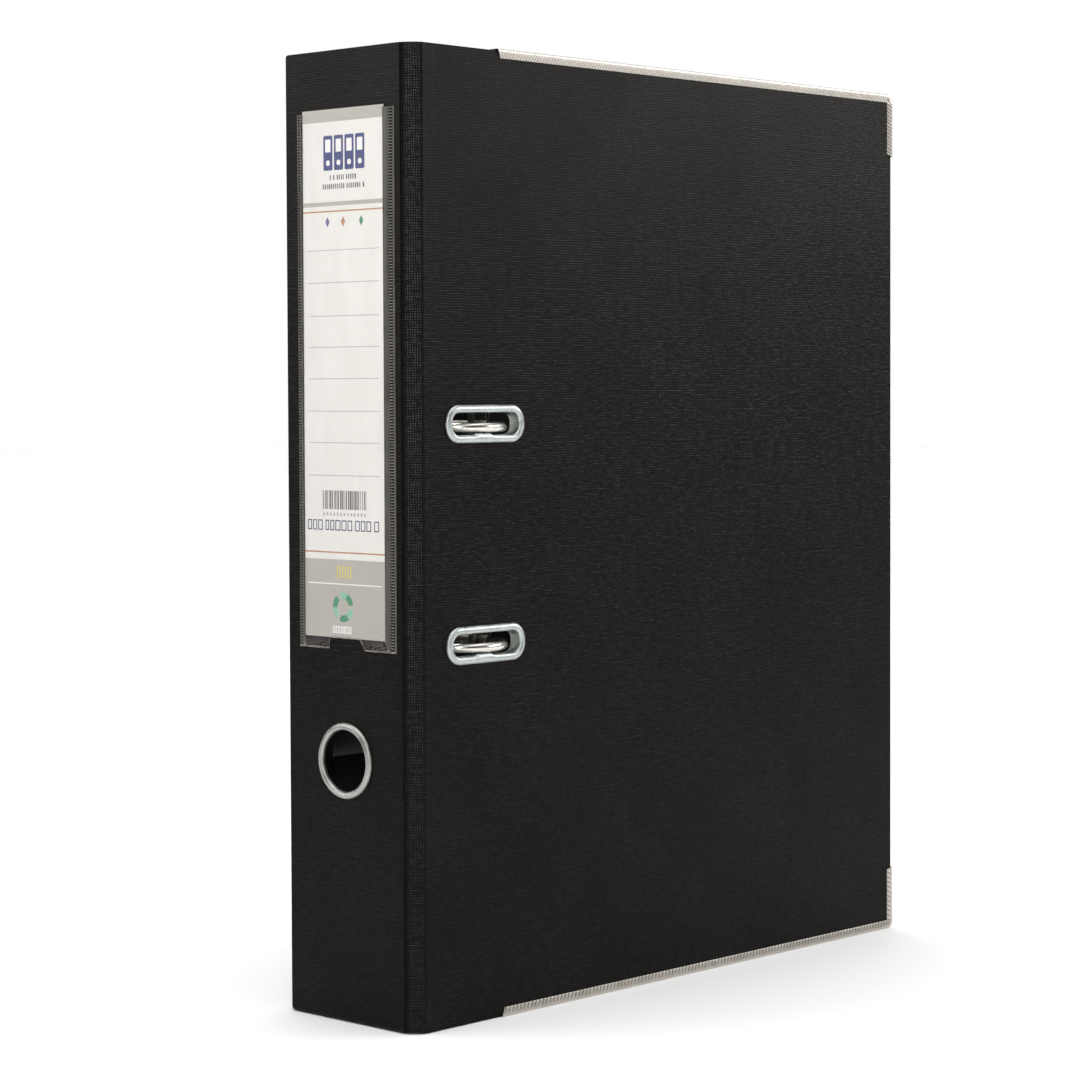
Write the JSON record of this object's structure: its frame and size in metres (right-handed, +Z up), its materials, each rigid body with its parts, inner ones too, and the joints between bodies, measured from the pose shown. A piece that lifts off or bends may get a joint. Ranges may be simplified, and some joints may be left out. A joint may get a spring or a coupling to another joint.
{
  "type": "ring binder",
  "caption": "Upright lever arch ring binder of cloth-covered board with slotted front cover, steel ring mechanism, metal edge strips, finger hole and spine label pocket.",
  "frame": {"origin": "middle of the closed file's footprint, on the surface the metal edge strips stand on", "axes": "+X out of the front cover, -Y out of the spine, +Z up along the spine"},
  "size_m": [0.0739, 0.2856, 0.354],
  "materials": {
    "bookcloth": "black linen-weave bookcloth, dull",
    "greyboard": "raw greyboard",
    "lining_paper": "matt black lining paper",
    "strip_metal": "ribbed nickel-plated strip",
    "zinc": "satin zinc plate",
    "nickel": "bright nickel plate",
    "black_plastic": "moulded black plastic",
    "clear_film": "clear soft film with knurled welds",
    "label_card": "smooth printed card"
  },
  "bodies": {
    "back_cover": {"back_cloth": "bookcloth", "back_board": "greyboard", "back_lining": "lining_paper", "back_top_edge_strip": "strip_metal", "back_bottom_edge_strip": "strip_metal", "base_plate": "nickel", "rivet_1": "nickel", "rivet_2": "nickel", "rivet_3": "nickel", "rivet_4": "nickel", "post_upper": "nickel", "post_lower": "nickel", "lever_pivot_pin": "nickel"},
    "spine": {"spine_cloth": "bookcloth", "spine_board": "greyboard", "spine_lining": "lining_paper", "front_hinge_cloth": "bookcloth", "back_hinge_cloth": "bookcloth", "finger_ring": "nickel", "finger_ring_washer": "nickel", "label_pocket": "clear_film"},
    "front_cover": {"front_cloth": "bookcloth", "front_board": "greyboard", "front_lining": "lining_paper", "slot_liner_upper": "zinc", "slot_liner_lower": "zinc", "slot_backing_upper": "zinc", "slot_backing_lower": "zinc", "front_top_edge_strip": "strip_metal", "front_bottom_edge_strip": "strip_metal"},
    "label_card": {"label_card": "label_card"},
    "arch": {"arch_wire": "nickel"},
    "lever": {"lever_arm": "nickel", "lever_grip": "black_plastic", "roller_pin": "nickel"},
    "roller": {"roller": "nickel"},
    "compressor": {"compressor_bar": "nickel"},
    "catch_upper": {"compressor_catch_upper": "nickel"},
    "catch_lower": {"compressor_catch_lower": "nickel"}
  },
  "joints": [
    {"name": "front_cover_hinge", "type": "hinge", "parent": "spine", "child": "front_cover", "pos_m": [0.0337, -0.14045, 0.177], "axis": [0, 0, -1], "range_deg": [0, 90]},
    {"name": "spine_hinge", "type": "hinge", "parent": "back_cover", "child": "spine", "pos_m": [-0.0337, -0.14045, 0.177], "axis": [0, 0, -1], "range_deg": [0, 90]},
    {"name": "arch_pivot", "type": "hinge", "parent": "back_cover", "child": "arch", "pos_m": [-0.0284, -0.1195, 0.1766], "axis": [0, 0, -1], "range_deg": [0, 40]},
    {"name": "lever_pivot", "type": "hinge", "parent": "back_cover", "child": "lever", "pos_m": [-0.024, -0.098, 0.1766], "axis": [0, 0, 1], "range_deg": [0, 60]},
    {"name": "roller_spin", "type": "hinge", "parent": "lever", "child": "roller", "pos_m": [-0.02225, -0.1095, 0.1766], "axis": [0, 0, 1], "continuous": true},
    {"name": "compressor_slide", "type": "slide", "parent": "back_cover", "child": "compressor", "axis": [1, 0, 0], "range_m": [-0.03, 0]},
    {"name": "catch_upper_pivot", "type": "hinge", "parent": "compressor", "child": "catch_upper", "pos_m": [0.01436, -0.0865, 0.2271], "axis": [0, -1, 0], "range_deg": [0, 8], "stiffness_Nm_per_rad": 0.0005},
    {"name": "catch_lower_pivot", "type": "hinge", "parent": "compressor", "child": "catch_lower", "pos_m": [0.01436, -0.0865, 0.1261], "axis": [0, 1, 0], "range_deg": [0, 8], "stiffness_Nm_per_rad": 0.0005},
    {"name": "label_card_slide", "type": "slide", "parent": "spine", "child": "label_card", "axis": [0, 0, 1], "range_m": [0, 0.15]}
  ],
  "couplings": [
    {"joint": "spine_hinge", "follows": "front_cover_hinge", "ratio": 1},
    {"joint": "lever_pivot", "follows": "front_cover_hinge", "ratio": 0.6666},
    {"joint": "arch_pivot", "follows": "front_cover_hinge", "ratio": 0.4444}
  ]
}
